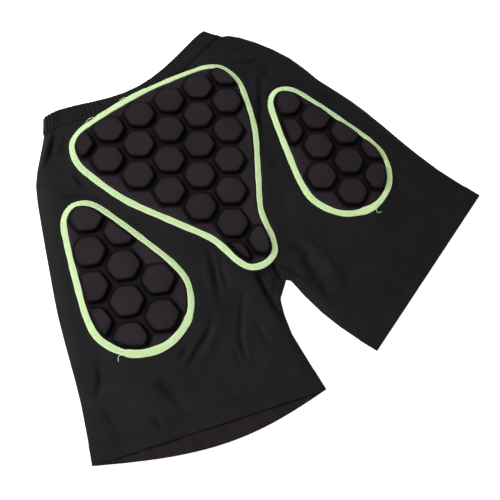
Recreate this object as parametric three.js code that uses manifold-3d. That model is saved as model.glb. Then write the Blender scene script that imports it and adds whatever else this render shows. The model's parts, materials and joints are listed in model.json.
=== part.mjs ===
// Padded impact shorts, laid flat with their back side up.
// Millimetres, +Z up, +Y towards the waist, +X to the wearer's right. The origin lies on the surface the
// shorts rest on, under the middle of the whole garment.
//
// The stretch shell is a flattened tube with a waist and two leg openings. Three foam pads are sewn on its
// outside: one over the tail bone and seat, and one over each hip. Each leg can be folded up over the pads
// along a line just below its hip pad.
import * as THREE from "three";
import { mergeVertices } from "three/addons/utils/BufferGeometryUtils.js";
import Module from "manifold-3d";

const wasm = await Module();
wasm.setup();

// ---- Driving dimensions ----

const GAP = 0.3; // between pieces that touch
const SHELL_HEIGHT = 11.4; // outside height of the flattened tube
const CLOTH = 1.0; // stretch cloth of the shell
const HEM_CLOTH = 2.0; // cloth turned back on itself at a leg opening
const HEM_DEPTH = 20;

const BAND_DEPTH = 22; // waistband, from its folded edge to its stitching
const BAND_WALL = 3.2; // two layers of casing with the elastic between them
const CASING_CLOTH = 0.8;
const ELASTIC_THICKNESS = 1.0;
const ELASTIC_DEPTH = 18;

const PAD_LINING = 0.6;
const PAD_BASE = 2.0; // foam sheet that carries the cells
const CELL_HEIGHT = 6.0; // of a cell above that sheet
const PAD_COVER = 0.6;
const CELL_PITCH = 39.4; // between the middles of two cells
const CELL_FOOT = 34.4; // across a cell's flats where it leaves the sheet
const CELL_TOP = 30; // and at its top
const TAPE_WIDTH = 6.5; // flatlock tape around each pad
const TAPE_THICKNESS = 1.2;
const PAD_EDGE_TO_CELL = 5; // from the tape's inner edge to the nearest foam cell

const FOLD_ANGLE = THREE.MathUtils.degToRad(8); // of each leg's fold line to a line straight across
const FOLD_REACH = -121.9; // where both fold lines cross the middle, along their normals
const FOLD_GAP = 1.2;

// Edges of the laid-out garment, each from top to bottom.
const LEFT_SIDE = [
  [-111, 213.5],
  [-123.5, 192],
  [-141, 170],
  [-161, 142.5],
  [-178.5, 100],
  [-200, 42],
  [-215, 0],
  [-228, -45],
  [-241, -90],
  [-261.5, -146],
];
const RIGHT_SIDE = [
  [117.5, 220],
  [130, 203.5],
  [146, 195],
  [169, 165],
  [188.5, 125.5],
  [197.5, 84],
  [212, 42.5],
  [222, 0],
  [231, -50],
  [243, -100],
  [261.5, -149],
];
const LEFT_INSEAM = [
  [-13.5, -116],
  [-25, -146],
  [-29.5, -185],
  [-32.5, -220],
];
const RIGHT_INSEAM = [
  [9, -106],
  [13, -144],
  [24, -185],
  [38, -220],
];
const SEAM_X = 5; // the centre seams, in line with the crotch's highest point
const CROTCH = [
  [-13.5, -116],
  [0, -106],
  [SEAM_X, -102],
  [9, -106],
];
const BACK_WAIST_DIP = 25.5; // of the waist's edge, in the middle, below a line between its corners
const FRONT_WAIST_DIP = 34;
const WAIST_DIP_POWERS = [2, 1.2]; // how sharply it dips from its left and from its right corner
const LEFT_HEM_BULGE = 21; // the front layer of the left leg shows this far past the back layer
const HEM_BULGE_POWER = 1.1; // above 1, it is widest nearer to the inseam

// Corners of the gusset between the legs. The legs' fold lines cut off its lowest one.
const GUSSET_TOP = [SEAM_X, -82];
const GUSSET_LEFT = [-32, -123];
const GUSSET_RIGHT = [26, -123];
const GUSSET_FOOT = [0, -140];

// Right half of the middle line of each pad's tape, from bottom to top.
const SEAT_PAD_HALF = [
  [0, -73],
  [20, -64],
  [26.5, -40.5],
  [33.5, -16.5],
  [57.5, 22.5],
  [87, 71],
  [103.5, 114.5],
  [109, 143.5],
  [98.5, 168],
  [71, 177.5],
  [0, 183],
];
const HIP_PAD_HALF = [
  [0, -90.5],
  [34, -78.5],
  [52.5, -50],
  [52.5, -21],
  [40.5, 22],
  [28, 61],
  [17, 86.5],
  [0, 96],
];
const HIP_PAD_X = 140; // from the middle to each hip pad's axis
const SEAT_PAD_PLACE = [-3.5, -3];
const SEAT_PAD_TILT = THREE.MathUtils.degToRad(-1);
const SEAT_CELL = [-5, -16]; // middle of one cell, on which the pattern is laid out
const SEAT_CELL_TILT = THREE.MathUtils.degToRad(-2); // of the pattern to the pad
const SEAT_TIP_CELL = [-26, -49.5]; // middle of the small cell beside the one in the pad's lower tip
const HIP_CELL = [9.8, -30]; // the same on a hip pad, measured outwards from its axis
const HIP_CELL_TILT = THREE.MathUtils.degToRad(3.2);

// ---- Colours ----

const shellCloth = new THREE.MeshStandardMaterial({ color: 0x17171a, roughness: 0.75, metalness: 0 });
const hemCloth = new THREE.MeshStandardMaterial({ color: 0x1c1b1e, roughness: 0.75, metalness: 0 });
const elastic = new THREE.MeshStandardMaterial({ color: 0x0c0c0d, roughness: 0.9, metalness: 0 });
const lining = new THREE.MeshStandardMaterial({ color: 0x202023, roughness: 0.95, metalness: 0 });
const foam = new THREE.MeshStandardMaterial({ color: 0x2b2b2d, roughness: 0.95, metalness: 0 });
const padCloth = new THREE.MeshStandardMaterial({ color: 0x1f1b1e, roughness: 0.8, metalness: 0 });
const tape = new THREE.MeshStandardMaterial({ color: 0xe2f59b, roughness: 0.7, metalness: 0 });

// ---- Solids, joined and cut with manifold-3d ----

function solidOf(geometry) {
  const bare = geometry.clone();
  bare.deleteAttribute("normal");
  bare.deleteAttribute("uv");
  const merged = mergeVertices(bare, 1e-4);
  const vertProperties = merged.attributes.position.array;
  const triVerts = new Uint32Array(merged.index.array);
  return new wasm.Manifold(new wasm.Mesh({ numProp: 3, vertProperties, triVerts }));
}

function geometryOf(solid) {
  const { vertProperties, triVerts } = solid.getMesh();
  const geometry = new THREE.BufferGeometry();
  geometry.setAttribute("position", new THREE.BufferAttribute(vertProperties, 3));
  geometry.setIndex(new THREE.BufferAttribute(triVerts, 1));
  geometry.computeVertexNormals();
  return geometry;
}

// An upright prism on an outline of [x, y] points.
function prism(outline, low, high) {
  const shape = new THREE.Shape(outline.map(([x, y]) => new THREE.Vector2(x, y)));
  const geometry = new THREE.ExtrudeGeometry(shape, { depth: high - low, bevelEnabled: false });
  return solidOf(geometry.translate(0, 0, low));
}

// What is left of a solid where normal . point is at least reach, for each [normal, reach].
function keep(solid, ...planes) {
  return planes.reduce((rest, [normal, reach]) => rest.trimByPlane(normal, reach), solid);
}

function flipped([normal, reach], gap) {
  return [normal.map((n) => -n), gap - reach];
}

// ---- Curves ----

function smooth(points, divisions) {
  const curve = new THREE.SplineCurve(points.map(([x, y]) => new THREE.Vector2(x, y)));
  return curve.getPoints(divisions).map((p) => [p.x, p.y]);
}

function shifted(points, dx, dy) {
  return points.map(([x, y]) => [x + dx, y + dy]);
}

// A closed loop, symmetrical about x = 0, through its right half's points.
function mirroredLoop(half, divisions) {
  const left = half.slice(1, -1).map(([x, y]) => [-x, y]);
  const points = [...half, ...left.reverse()].map(([x, y]) => new THREE.Vector3(x, y, 0));
  const loop = new THREE.CatmullRomCurve3(points, true, "catmullrom");
  return loop.getSpacedPoints(divisions).slice(0, -1).map((p) => [p.x, p.y]);
}

// A counter-clockwise loop moved outwards by grow.
function grown(loop, grow) {
  return loop.map(([x, y], i) => {
    const [x0, y0] = loop.at(i - 1);
    const [x1, y1] = loop[(i + 1) % loop.length];
    const length = Math.hypot(x1 - x0, y1 - y0);
    return [x + (grow * (y1 - y0)) / length, y - (grow * (x1 - x0)) / length];
  });
}

function isInside([x, y], loop) {
  let inside = false;
  loop.forEach(([x0, y0], i) => {
    const [x1, y1] = loop.at(i - 1);
    if (y0 > y !== y1 > y && x < x0 + ((x1 - x0) * (y - y0)) / (y1 - y0)) inside = !inside;
  });
  return inside;
}

// ---- The shell ----

const SIDE_DIVISIONS = 18;
const INSEAM_DIVISIONS = 5;
const WAIST_DIVISIONS = 12;
const OVERRUN = 60; // by which a cutter passes the edge that it cuts
const FAR = 400; // beyond every edge of the garment
const HALF_HEIGHT = SHELL_HEIGHT / 2;

// The waist's edge from the right corner to the left, dipping in the middle and lowered by drop.
function waistEdge(dip, inset, drop) {
  const [left, right] = [LEFT_SIDE[0], RIGHT_SIDE[0]];
  return Array.from({ length: WAIST_DIVISIONS + 1 }, (_, i) => {
    const t = 1 - i / WAIST_DIVISIONS;
    const x = THREE.MathUtils.lerp(left[0] + inset, right[0] - inset, t);
    const share = Math.sin(Math.PI * t) ** THREE.MathUtils.lerp(...WAIST_DIP_POWERS, t);
    return [x, THREE.MathUtils.lerp(left[1], right[1], t) - dip * share - drop];
  });
}

function leftHemEdge(bulge) {
  const [outer, inner] = [LEFT_SIDE.at(-1), LEFT_INSEAM.at(-1)];
  return [0.2, 0.4, 0.6, 0.8].map((t) => [
    THREE.MathUtils.lerp(outer[0], inner[0], t),
    THREE.MathUtils.lerp(outer[1], inner[1], t) - bulge * Math.sin(Math.PI * t ** HEM_BULGE_POWER),
  ]);
}

// The outline of one layer, counter-clockwise from the left corner of the waist.
function layerOutline(waistDip, hemBulge, inset) {
  return [
    ...shifted(smooth(LEFT_SIDE, SIDE_DIVISIONS).slice(1), inset, 0),
    ...leftHemEdge(hemBulge),
    ...shifted(smooth(LEFT_INSEAM, INSEAM_DIVISIONS).reverse(), -inset, 0),
    ...shifted(CROTCH.slice(1, -1), 0, inset),
    ...shifted(smooth(RIGHT_INSEAM, INSEAM_DIVISIONS), inset, 0),
    ...shifted(smooth(RIGHT_SIDE, SIDE_DIVISIONS).slice(1).reverse(), -inset, 0),
    ...waistEdge(waistDip, inset, inset),
  ];
}

// The space inside the shell, inset from its sides and running out through its three openings.
function insideOutline(inset) {
  const beyond = ([x, y], dx, dy) => [x + dx, y + dy];
  return [
    beyond(LEFT_SIDE[0], inset, OVERRUN),
    ...shifted(smooth(LEFT_SIDE, SIDE_DIVISIONS), inset, 0),
    beyond(LEFT_SIDE.at(-1), inset, -OVERRUN),
    beyond(LEFT_INSEAM.at(-1), -inset, -OVERRUN),
    ...shifted(smooth(LEFT_INSEAM, INSEAM_DIVISIONS).reverse(), -inset, 0),
    ...shifted(CROTCH.slice(1, -1), 0, inset),
    ...shifted(smooth(RIGHT_INSEAM, INSEAM_DIVISIONS), inset, 0),
    beyond(RIGHT_INSEAM.at(-1), inset, -OVERRUN),
    beyond(RIGHT_SIDE.at(-1), -inset, -OVERRUN),
    ...shifted(smooth(RIGHT_SIDE, SIDE_DIVISIONS).reverse(), -inset, 0),
    beyond(RIGHT_SIDE[0], -inset, OVERRUN),
  ];
}

// A flattened tube of the given wall, inset all round from the outside of the shell.
function tube(inset, wall) {
  const front = prism(layerOutline(FRONT_WAIST_DIP, LEFT_HEM_BULGE, inset), inset, HALF_HEIGHT);
  const back = prism(layerOutline(BACK_WAIST_DIP, 0, inset), HALF_HEIGHT, SHELL_HEIGHT - inset);
  const depth = inset + wall;
  return front.add(back).subtract(prism(insideOutline(depth), depth, SHELL_HEIGHT - depth));
}

// All that lies below a line across the waistband, drop below its folded edge.
function belowWaist(drop) {
  const low = -2 * OVERRUN - SHELL_HEIGHT;
  const half = (dip, bottom, top) =>
    prism([...waistEdge(dip, -OVERRUN, drop), [-FAR, -FAR], [FAR, -FAR]], bottom, top);
  return half(FRONT_WAIST_DIP, low, HALF_HEIGHT).add(half(BACK_WAIST_DIP, HALF_HEIGHT, -low));
}

// The line that passes through two points, as a plane whose kept side is above it.
function lineAbove([x0, y0], [x1, y1], rise) {
  const length = Math.hypot(x1 - x0, y1 - y0);
  const normal = [-(y1 - y0) / length, (x1 - x0) / length, 0];
  return [normal, normal[0] * x0 + normal[1] * y0 + rise];
}

const foldNormal = (side) => [-side * Math.sin(FOLD_ANGLE), Math.cos(FOLD_ANGLE), 0];
const aboveFold = (side) => [foldNormal(side), FOLD_REACH + FOLD_GAP / 2];
const belowFold = (side) => flipped([foldNormal(side), FOLD_REACH], FOLD_GAP / 2);
const ownSide = (side) => [[side, 0, 0], side * SEAM_X + GAP / 2];
const aboveHem = (side, rise) =>
  side < 0
    ? lineAbove(LEFT_SIDE.at(-1), LEFT_INSEAM.at(-1), rise)
    : lineAbove(RIGHT_INSEAM.at(-1), RIGHT_SIDE.at(-1), rise);
const FRONT_HALF = [[0, 0, -1], -(SHELL_HEIGHT - CLOTH - GAP)];
const BACK_HALF = [[0, 0, 1], SHELL_HEIGHT - CLOTH];

const cloth = tube(0, CLOTH);
const gussetPrism = (grow) =>
  prism(
    grown([GUSSET_LEFT, GUSSET_FOOT, GUSSET_RIGHT, GUSSET_TOP], grow),
    -SHELL_HEIGHT,
    2 * SHELL_HEIGHT,
  );

function torsoPanel(side, half) {
  const panel = keep(cloth, half, ownSide(side), aboveFold(side));
  return panel.intersect(belowWaist(BAND_DEPTH + GAP)).subtract(gussetPrism(GAP));
}

function legPanel(side, half) {
  return keep(cloth, half, ownSide(side), belowFold(side), aboveHem(side, HEM_DEPTH + GAP));
}

function hem(side) {
  return keep(tube(0, HEM_CLOTH), ownSide(side), flipped(aboveHem(side, HEM_DEPTH), 0));
}

function gusset() {
  return keep(cloth, aboveFold(-1), aboveFold(1)).intersect(gussetPrism(0));
}

function waistband() {
  const slot = tube(CASING_CLOTH, BAND_WALL - 2 * CASING_CLOTH);
  return tube(0, BAND_WALL).subtract(slot).subtract(belowWaist(BAND_DEPTH));
}

function waistElastic() {
  return tube(CASING_CLOTH + GAP, ELASTIC_THICKNESS).subtract(belowWaist(ELASTIC_DEPTH));
}

// ---- The pads ----

const PAD_LOW = SHELL_HEIGHT + GAP;
const FOAM_LOW = PAD_LOW + PAD_LINING + GAP;
const LOOP_DIVISIONS = 44;

// Middles of the hexagonal cells that fall inside a loop.
function cellMiddles(loop, [x0, y0], tilt) {
  const rowStep = (CELL_PITCH * Math.sqrt(3)) / 2;
  const middles = [];
  for (let row = -3; row <= 6; row++)
    for (let column = -4; column <= 4; column++) {
      const along = (column + (row & 1) / 2) * CELL_PITCH;
      const up = row * rowStep;
      const x = x0 + along * Math.cos(tilt) - up * Math.sin(tilt);
      const y = y0 + along * Math.sin(tilt) + up * Math.cos(tilt);
      if (isInside([x, y], loop)) middles.push([x, y]);
    }
  return middles;
}

// One cell: a hexagon with a corner towards the waist, narrower at its top.
function cell([x, y], tilt, grow) {
  const cornerRadius = (acrossFlats) => (acrossFlats / 2 + grow) / Math.cos(Math.PI / 6);
  const height = PAD_BASE + CELL_HEIGHT + grow;
  const geometry = new THREE.CylinderGeometry(cornerRadius(CELL_TOP), cornerRadius(CELL_FOOT), height, 6);
  geometry.rotateX(Math.PI / 2).rotateZ(tilt);
  return solidOf(geometry.translate(x, y, FOAM_LOW + height / 2));
}

// The foam with its cells, grown by the same amount all round except downwards.
function foamBlock(loop, middles, tilt, grow) {
  const edge = grown(loop, grow - TAPE_WIDTH / 2 - PAD_COVER - 2 * GAP);
  const cellEdge = grown(loop, grow - TAPE_WIDTH / 2 - PAD_EDGE_TO_CELL);
  const cells = middles.map((middle) => cell(middle, tilt, grow)).reduce((a, b) => a.add(b));
  const top = FOAM_LOW + PAD_BASE + CELL_HEIGHT + grow;
  const base = prism(edge, FOAM_LOW, FOAM_LOW + PAD_BASE + grow);
  return base.add(cells.intersect(prism(cellEdge, FOAM_LOW, top)));
}

function pad(name, half, firstCell, tilt, moreCells = []) {
  const loop = mirroredLoop(half, LOOP_DIVISIONS);
  const padEdge = grown(loop, -TAPE_WIDTH / 2 - GAP);
  const middles = [...cellMiddles(grown(padEdge, GAP), firstCell, tilt), ...moreCells];
  const outside = foamBlock(loop, middles, tilt, GAP + PAD_COVER);
  const inside = foamBlock(loop, middles, tilt, GAP);
  const tapeRing = prism(grown(loop, TAPE_WIDTH / 2), PAD_LOW, PAD_LOW + TAPE_THICKNESS).subtract(
    prism(grown(loop, -TAPE_WIDTH / 2), 0, 2 * FOAM_LOW),
  );
  const group = new THREE.Group();
  group.add(
    piece(name + "_pad_lining", prism(padEdge, PAD_LOW, PAD_LOW + PAD_LINING), lining),
    piece(name + "_pad_foam", foamBlock(loop, middles, tilt, 0), foam),
    piece(name + "_pad_cover", outside.subtract(inside), padCloth),
    piece(name + "_pad_tape", tapeRing, tape),
  );
  return group;
}

// ---- The assembly ----

function piece(name, solid, material) {
  const mesh = new THREE.Mesh(geometryOf(solid), material);
  mesh.name = name;
  return mesh;
}

const shorts = new THREE.Group();
shorts.add(
  piece("waistband", waistband(), hemCloth),
  piece("waist_elastic", waistElastic(), elastic),
  piece("crotch_gusset", gusset(), shellCloth),
);
for (const [name, side] of [
  ["left", -1],
  ["right", 1],
]) {
  shorts.add(
    piece(name + "_back_panel", torsoPanel(side, BACK_HALF), shellCloth),
    piece(name + "_front_panel", torsoPanel(side, FRONT_HALF), shellCloth),
    piece(name + "_leg_back", legPanel(side, BACK_HALF), shellCloth),
    piece(name + "_leg_front", legPanel(side, FRONT_HALF), shellCloth),
    piece(name + "_leg_hem", hem(side), hemCloth),
  );
  const hipPad = pad(name + "_hip", HIP_PAD_HALF, [side * HIP_CELL[0], HIP_CELL[1]], -side * HIP_CELL_TILT);
  hipPad.position.x = side * HIP_PAD_X;
  shorts.add(hipPad);
}
const seatPad = pad("seat", SEAT_PAD_HALF, SEAT_CELL, SEAT_CELL_TILT, [SEAT_TIP_CELL]);
seatPad.position.set(...SEAT_PAD_PLACE, 0);
seatPad.rotation.z = SEAT_PAD_TILT;
shorts.add(seatPad);

export default shorts;
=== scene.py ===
"""Padded impact shorts laid flat, back side up: stretch shell, waistband, hems, three foam pads and tape.

Lengths are in metres. +Z is up out of the back side, +Y towards the waist and +X to the wearer's right.
"""

import json
import math

import bmesh
import bpy
import numpy as np
from bpy.props import FloatProperty, FloatVectorProperty, IntProperty, PointerProperty
from mathutils import Matrix, Vector
from mathutils.geometry import delaunay_2d_cdt


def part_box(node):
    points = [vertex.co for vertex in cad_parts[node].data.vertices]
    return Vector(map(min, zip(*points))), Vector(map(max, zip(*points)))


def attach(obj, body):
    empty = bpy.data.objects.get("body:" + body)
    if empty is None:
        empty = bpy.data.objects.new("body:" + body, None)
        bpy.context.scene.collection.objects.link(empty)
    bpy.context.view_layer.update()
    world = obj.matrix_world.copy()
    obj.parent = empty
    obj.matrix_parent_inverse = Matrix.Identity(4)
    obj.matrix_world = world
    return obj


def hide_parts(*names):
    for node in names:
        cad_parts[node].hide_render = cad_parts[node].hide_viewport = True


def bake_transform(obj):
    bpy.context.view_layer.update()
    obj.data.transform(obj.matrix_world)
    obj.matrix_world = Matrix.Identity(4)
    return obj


bl_info = {
    "name": "Padded impact shorts",
    "version": (1, 0, 0),
    "blender": (4, 5, 0),
    "location": "View3D > Sidebar > Shorts",
    "description": "Builds the cloth, pads, tape and stitching of a pair of padded impact shorts",
    "category": "Object",
}

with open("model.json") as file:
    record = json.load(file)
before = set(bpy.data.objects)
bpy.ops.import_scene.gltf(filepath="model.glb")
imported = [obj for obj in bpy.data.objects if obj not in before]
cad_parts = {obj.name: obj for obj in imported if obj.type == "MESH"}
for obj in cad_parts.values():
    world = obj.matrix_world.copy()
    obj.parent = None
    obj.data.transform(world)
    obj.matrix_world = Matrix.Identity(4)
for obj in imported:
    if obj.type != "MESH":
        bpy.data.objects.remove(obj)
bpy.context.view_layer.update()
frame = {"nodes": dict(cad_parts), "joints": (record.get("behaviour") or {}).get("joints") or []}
MM = 0.001
SIDES = {"left": -1, "right": 1}
PADS = ("seat", "left_hip", "right_hip")


# ---- Reading the frame ----


def corners_of(*nodes):
    """The corners of these nodes' triangles: n x 3 corners x 3 numbers."""
    found = []
    for name in nodes:
        mesh = frame["nodes"][name].data
        mesh.calc_loop_triangles()
        points = np.empty(len(mesh.vertices) * 3, np.float32)
        mesh.vertices.foreach_get("co", points)
        corners = np.empty(len(mesh.loop_triangles) * 3, np.int32)
        mesh.loop_triangles.foreach_get("vertices", corners)
        found.append(points.reshape(-1, 3)[corners.reshape(-1, 3)].astype(float))
    return np.concatenate(found)


def crossings(corners, axis, value):
    """Where the triangles' edges cross the plane on which one coordinate has this value."""
    start = corners.reshape(-1, 3)
    end = np.roll(corners, -1, axis=1).reshape(-1, 3)
    before, after = start[:, axis] - value, end[:, axis] - value
    cut = before * after < 0
    share = (before[cut] / (before[cut] - after[cut]))[:, None]
    return start[cut] + share * (end[cut] - start[cut])


def rim_of(node):
    """The outline of a flat node's top face, as x and y, counter-clockwise."""
    corners = corners_of(node)
    top = corners[..., 2].max()
    flat = corners[(corners[..., 2] > top - 0.01 * MM).all(axis=1)][..., :2]
    edges = set()
    for a, b, c in np.round(flat, 6).tolist():
        for start, end in ((a, b), (b, c), (c, a)):
            start, end = tuple(start), tuple(end)
            if (end, start) in edges:
                edges.remove((end, start))
            else:
                edges.add((start, end))
    follow = dict(edges)
    first = min(follow)
    rim = [first]
    while follow[rim[-1]] != first:
        rim.append(follow[rim[-1]])
    return np.array(rim)


def cell_tops(node):
    """Area and middle of each flat cell top of a foam node."""
    corners = corners_of(node)
    top = corners[..., 2].max()
    flat = corners[(corners[..., 2] > top - 0.01 * MM).all(axis=1)][..., :2]
    groups = []
    for triangle in np.round(flat, 6).tolist():
        keys = {tuple(p) for p in triangle}
        joined = [g for g in groups if g["keys"] & keys]
        merged = {"keys": keys, "triangles": [triangle]}
        for g in joined:
            merged["keys"] |= g["keys"]
            merged["triangles"] += g["triangles"]
            groups.remove(g)
        groups.append(merged)
    tops = []
    for g in groups:
        a, b, c = np.array(g["triangles"]).transpose(1, 0, 2)
        areas = np.abs(np.cross(b - a, c - a)) / 2
        middle = ((a + b + c) / 3 * areas[:, None]).sum(0) / areas.sum()
        tops.append((areas.sum(), middle))
    return tops


# ---- Plane geometry ----


def smooth_step(share):
    t = np.clip(share, 0, 1)
    return t * t * (3 - 2 * t)


def nearest_on(points, path, closed=False):
    """How far each point is from a path of straight pieces, and at which share of the path's pieces."""
    starts, ends = (path, np.roll(path, -1, axis=0)) if closed else (path[:-1], path[1:])
    nearest, place = np.full(len(points), np.inf), np.zeros(len(points))
    for number, (a, b) in enumerate(zip(starts, ends)):
        along = b - a
        t = np.clip((points - a) @ along / (along @ along), 0, 1)
        away = ((points - a - t[:, None] * along) ** 2).sum(axis=1)
        closer = away < nearest
        nearest[closer], place[closer] = away[closer], (number + t)[closer]
    return np.sqrt(nearest), place / len(starts)


def distance_to(points, path, closed=False):
    return nearest_on(points, path, closed)[0]


def inside(points, loop):
    found = np.zeros(len(points), bool)
    x, y = points.T
    for (x0, y0), (x1, y1) in zip(loop, np.roll(loop, -1, axis=0)):
        if y0 != y1:
            found ^= ((y0 > y) != (y1 > y)) & (x < x0 + (x1 - x0) * (y - y0) / (y1 - y0))
    return found


def depth_inside(points, loop):
    """Distance to a closed loop, positive inside it."""
    return distance_to(points, loop, closed=True) * np.where(inside(points, loop), 1, -1)


def along_path(path):
    """Length along a path up to each of its points."""
    return np.concatenate([[0], np.cumsum(np.linalg.norm(np.diff(path, axis=0), axis=1))])


def interpolated(at, places, rows):
    """Rows of numbers that belong to places, read off at other places between them."""
    return np.stack([np.interp(at, places, column) for column in rows.T], axis=-1)


def resampled(path, shares):
    """Points of a path at these shares of its length."""
    lengths = along_path(path)
    return interpolated(np.asarray(shares) * lengths[-1], lengths, path)


def smooth_path(points, closed, spacing):
    """An evenly spaced smooth curve through these points."""
    points = np.asarray(points, float)
    if closed:
        before, after = np.roll(points, 1, axis=0), np.roll(points, -1, axis=0)
        start, end, beyond = points, after, np.roll(points, -2, axis=0)
    else:
        padded = np.concatenate([2 * points[:1] - points[1:2], points, 2 * points[-1:] - points[-2:-1]])
        before, start, end, beyond = padded[:-3], padded[1:-2], padded[2:-1], padded[3:]
    t = np.linspace(0, 1, 12, endpoint=False)[None, :, None]
    before, start, end, beyond = (a[:, None] for a in (before, start, end, beyond))
    curve = 0.5 * (
        2 * start
        + (end - before) * t
        + (2 * before - 5 * start + 4 * end - beyond) * t**2
        + (3 * start - before - 3 * end + beyond) * t**3
    )
    curve = np.concatenate([curve.reshape(-1, points.shape[1]), points[:1] if closed else points[-1:]])
    count = max(2, round(along_path(curve)[-1] / spacing))
    shares = np.linspace(0, 1, count + 1)
    return resampled(curve, shares[:-1] if closed else shares)


def sideways(path, closed):
    """Unit vectors to the right of a path, which is outwards on a counter-clockwise loop."""
    if closed:
        ahead = np.roll(path, -1, axis=0) - np.roll(path, 1, axis=0)
    else:
        ahead = np.gradient(path, axis=0)
    across = np.stack([ahead[:, 1], -ahead[:, 0]], axis=-1)
    return across / np.linalg.norm(across, axis=1)[:, None]


def ripples(points, wavelength, seed, waves=9):
    """Smooth unevenness between about -1 and 1, the same on every run."""
    draw = np.random.default_rng(seed)
    total = np.zeros(len(points))
    for _ in range(waves):
        angle, phase = draw.uniform(0, 2 * math.pi, 2)
        step = 2 * math.pi / (wavelength * draw.uniform(0.7, 1.4))
        total += np.sin(step * (points @ np.array([math.cos(angle), math.sin(angle)])) + phase)
    return total / math.sqrt(2 * waves)


# ---- The garment's outlines, from the frame ----


class Layout:
    """Outlines of the laid-out shorts: its sides, inseams, waist edges, fold lines and pad loops."""

    STEP = 3 * MM

    def __init__(self):
        low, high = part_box("waistband")
        self.middle = (low.z + high.z) / 2
        self.seam_x = (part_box("left_back_panel")[1].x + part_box("right_back_panel")[0].x) / 2
        gusset = crossings(corners_of("crotch_gusset"), 0, self.seam_x)
        self.crotch = np.array([self.seam_x, gusset[:, 1].min()])
        self.gusset_top = np.array([self.seam_x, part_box("crotch_gusset")[1].y])
        self.waist = {layer: self.waist_edge(layer) for layer in ("back", "front")}
        self.fold, self.side, self.inseam, self.bulge, self.gusset_foot = {}, {}, {}, {}, {}
        for name, sign in SIDES.items():
            self.fold[name] = self.fold_line(name)
            self.read_half(name, sign)
        self.folded_edges = [*self.side.values(), *self.inseam.values()]
        self.pads = {name: smooth_path(rim_of(name + "_pad_lining"), True, 3 * MM) for name in PADS}

    def waist_edge(self, layer):
        corners = corners_of("waistband")
        heights = corners[..., 2].mean(axis=1)
        half = corners[heights > self.middle if layer == "back" else heights < self.middle]
        low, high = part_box("waistband")
        xs = np.arange(low.x + self.STEP, high.x - self.STEP, self.STEP)
        ys = np.array([crossings(half, 0, x)[:, 1].max() for x in xs])
        top = [half[..., 1][half[..., 0] * sign > 0].max() for sign in (-1, 1)]
        ends = [half[half[..., 1] == y][0, :2] for y in top]
        keep = (xs > ends[0][0]) & (xs < ends[1][0])
        return np.concatenate([[ends[0]], np.stack([xs[keep], ys[keep]], axis=-1), [ends[1]]])

    def fold_line(self, name):
        """The line on which a leg folds: its normal towards the waist, and its reach along that."""
        joint = next(j for j in frame["joints"] if j["name"] == name + "_leg_fold")
        along = Vector(joint["axis"][:2]).normalized()
        normal = np.array([along.y, -along.x])
        return normal, float(normal @ np.array(joint["pos_m"][:2]))

    def read_half(self, name, sign):
        pieces = [name + end for end in ("_back_panel", "_leg_back", "_leg_hem")]
        body = corners_of(*pieces, "waistband")
        inner = corners_of(*pieces, "crotch_gusset")
        hem = corners_of(name + "_leg_hem").reshape(-1, 3)
        back_hem = hem[hem[:, 2] > self.middle]
        outer_foot = back_hem[(back_hem[:, 0] * sign).argmax(), :2]
        inner_foot = back_hem[back_hem[:, 1].argmin(), :2]
        waist_corner = self.waist["back"][-1 if sign > 0 else 0]
        self.side[name] = self.edge_line(
            outer_foot, waist_corner, lambda y: (crossings(body, 1, y)[:, 0] * sign).max() * sign, sign
        )
        self.inseam[name] = self.edge_line(
            inner_foot, self.crotch, lambda y: self.innermost(crossings(inner, 1, y)[:, 0], sign), -sign
        )
        x = (outer_foot[0] + inner_foot[0]) / 2
        cut = crossings(corners_of(name + "_leg_hem"), 0, x)
        upper = cut[:, 2] > self.middle
        self.bulge[name] = cut[upper, 1].min() - cut[~upper, 1].min()
        gusset = corners_of("crotch_gusset").reshape(-1, 3)
        self.gusset_foot[name] = gusset[(gusset[:, 0] * sign).argmax(), :2]

    def innermost(self, xs, sign):
        own = (xs - self.seam_x) * sign
        return self.seam_x + own[own > 0].min() * sign

    def edge_line(self, foot, head, x_at, sign):
        """One edge from foot to head, without the dents that the gaps between pieces leave in it."""
        ys = np.arange(foot[1] + self.STEP, head[1] - self.STEP / 2, self.STEP)
        xs = np.array([x_at(y) for y in ys])
        reach = xs * sign
        low = np.minimum(np.roll(reach, 1), np.roll(reach, -1))
        keep = reach >= low - 0.3 * MM
        keep[[0, -1]] = True
        return np.concatenate([[foot], np.stack([xs[keep], ys[keep]], axis=-1), [head]])

    def below_waist(self, points, layer):
        edge = self.waist[layer]
        return np.interp(points[:, 0], edge[:, 0], edge[:, 1]) - points[:, 1]

    def above_hem(self, points):
        """Distance up from the nearer leg's hem line."""
        found = []
        for name in SIDES:
            foot, head = self.inseam[name][0], self.side[name][0]
            along = (head - foot) / np.linalg.norm(head - foot)
            found.append(np.abs((points - foot) @ np.array([-along[1], along[0]])))
        return np.where(points[:, 0] < self.seam_x, *found)


LAYOUT = Layout()


# ---- Sizes and colours that a user would change ----


def size_property(name, description, default):
    return FloatProperty(name=name, description=description, default=default, unit="LENGTH", precision=5)


def colour_property(name, description, default):
    return FloatVectorProperty(
        name=name, description=description, default=default, size=3, min=0, max=1, subtype="COLOR"
    )


def count_property(name, description, default, low, high):
    return IntProperty(name=name, description=description, default=default, min=low, max=high)


def angle_property(name, description, degrees):
    return FloatProperty(name=name, description=description, default=math.radians(degrees), unit="ROTATION")


def power_property(name, description, default):
    return FloatProperty(name=name, description=description, default=default, unit="POWER")


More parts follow.
